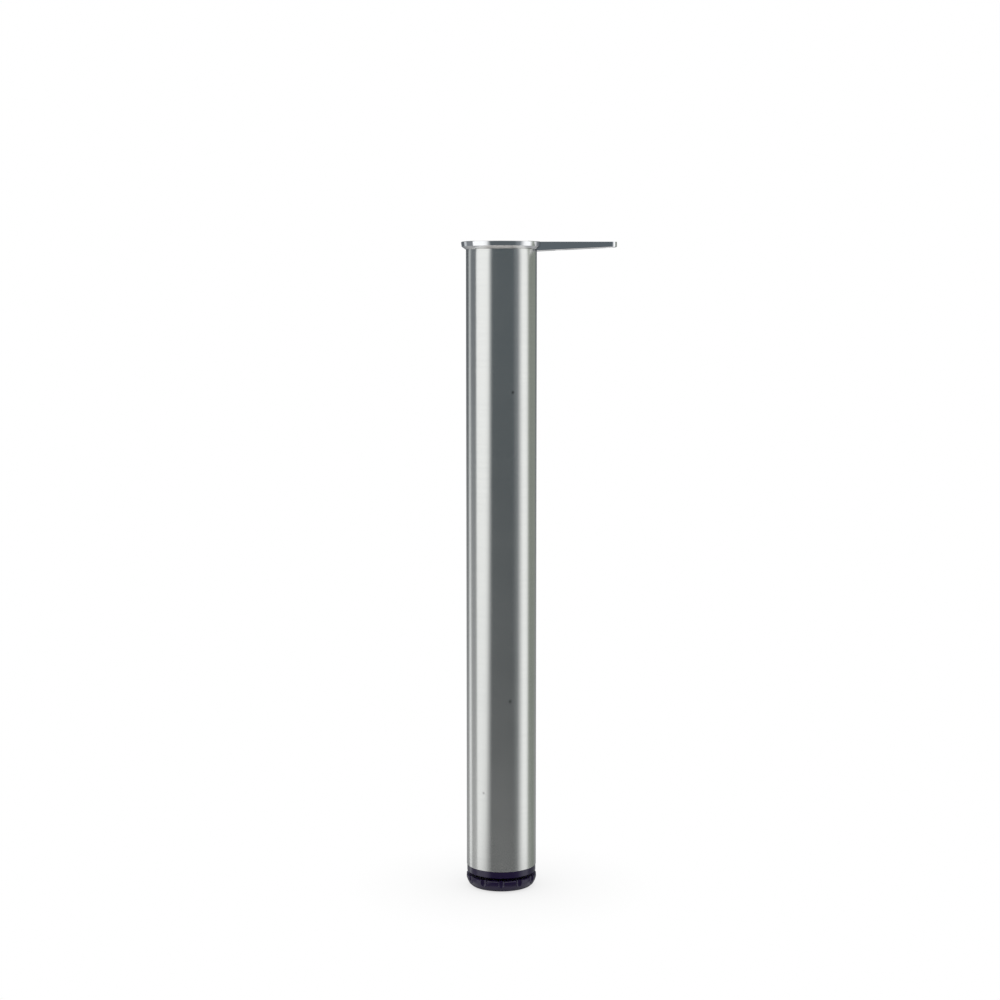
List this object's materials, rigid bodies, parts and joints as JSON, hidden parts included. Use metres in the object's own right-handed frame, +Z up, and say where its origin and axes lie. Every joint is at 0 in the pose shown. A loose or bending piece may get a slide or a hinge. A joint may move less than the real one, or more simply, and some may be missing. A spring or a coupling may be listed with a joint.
{
  "type": "height adjustable table leg",
  "caption": "Round brushed steel table leg with a screw-in levelling foot and a plated corner mounting plate with tapered arms.",
  "frame": {"origin": "on the leg's axis at the floor, with the foot screwed fully in", "axes": "+Z up the leg to the table; one arm of the mounting plate points along +X and the other along +Y"},
  "size_m": [0.1673, 0.1673, 0.705],
  "materials": {
    "plated_casting": "polished chrome on a zinc die-casting",
    "brushed_steel": "brushed round the tube",
    "zinc_steel": "bright zinc plated",
    "black_oxide_steel": "black oxide",
    "black_nylon": "moulded, semi-gloss",
    "grey_acetal": "moulded, satin"
  },
  "bodies": {
    "leg": {"mounting_plate": "plated_casting", "leg_tube": "brushed_steel", "lock_nut": "zinc_steel", "lock_screw": "black_oxide_steel", "foot_plug": "black_nylon", "spindle_nut": "zinc_steel"},
    "glide": {"floor_glide": "grey_acetal"},
    "foot": {"foot_disc": "black_nylon", "foot_spindle": "zinc_steel"}
  },
  "joints": [
    {"name": "foot_lift", "type": "slide", "parent": "leg", "child": "glide", "axis": [0, 0, -1], "range_m": [0, 0.0285]},
    {"name": "foot_turn", "type": "hinge", "parent": "glide", "child": "foot", "pos_m": [0, 0, 0], "axis": [0, 0, -1], "range_deg": [0, 6840]}
  ],
  "couplings": [
    {"joint": "foot_lift", "follows": "foot_turn", "m_per_rad": 0.00023873}
  ]
}
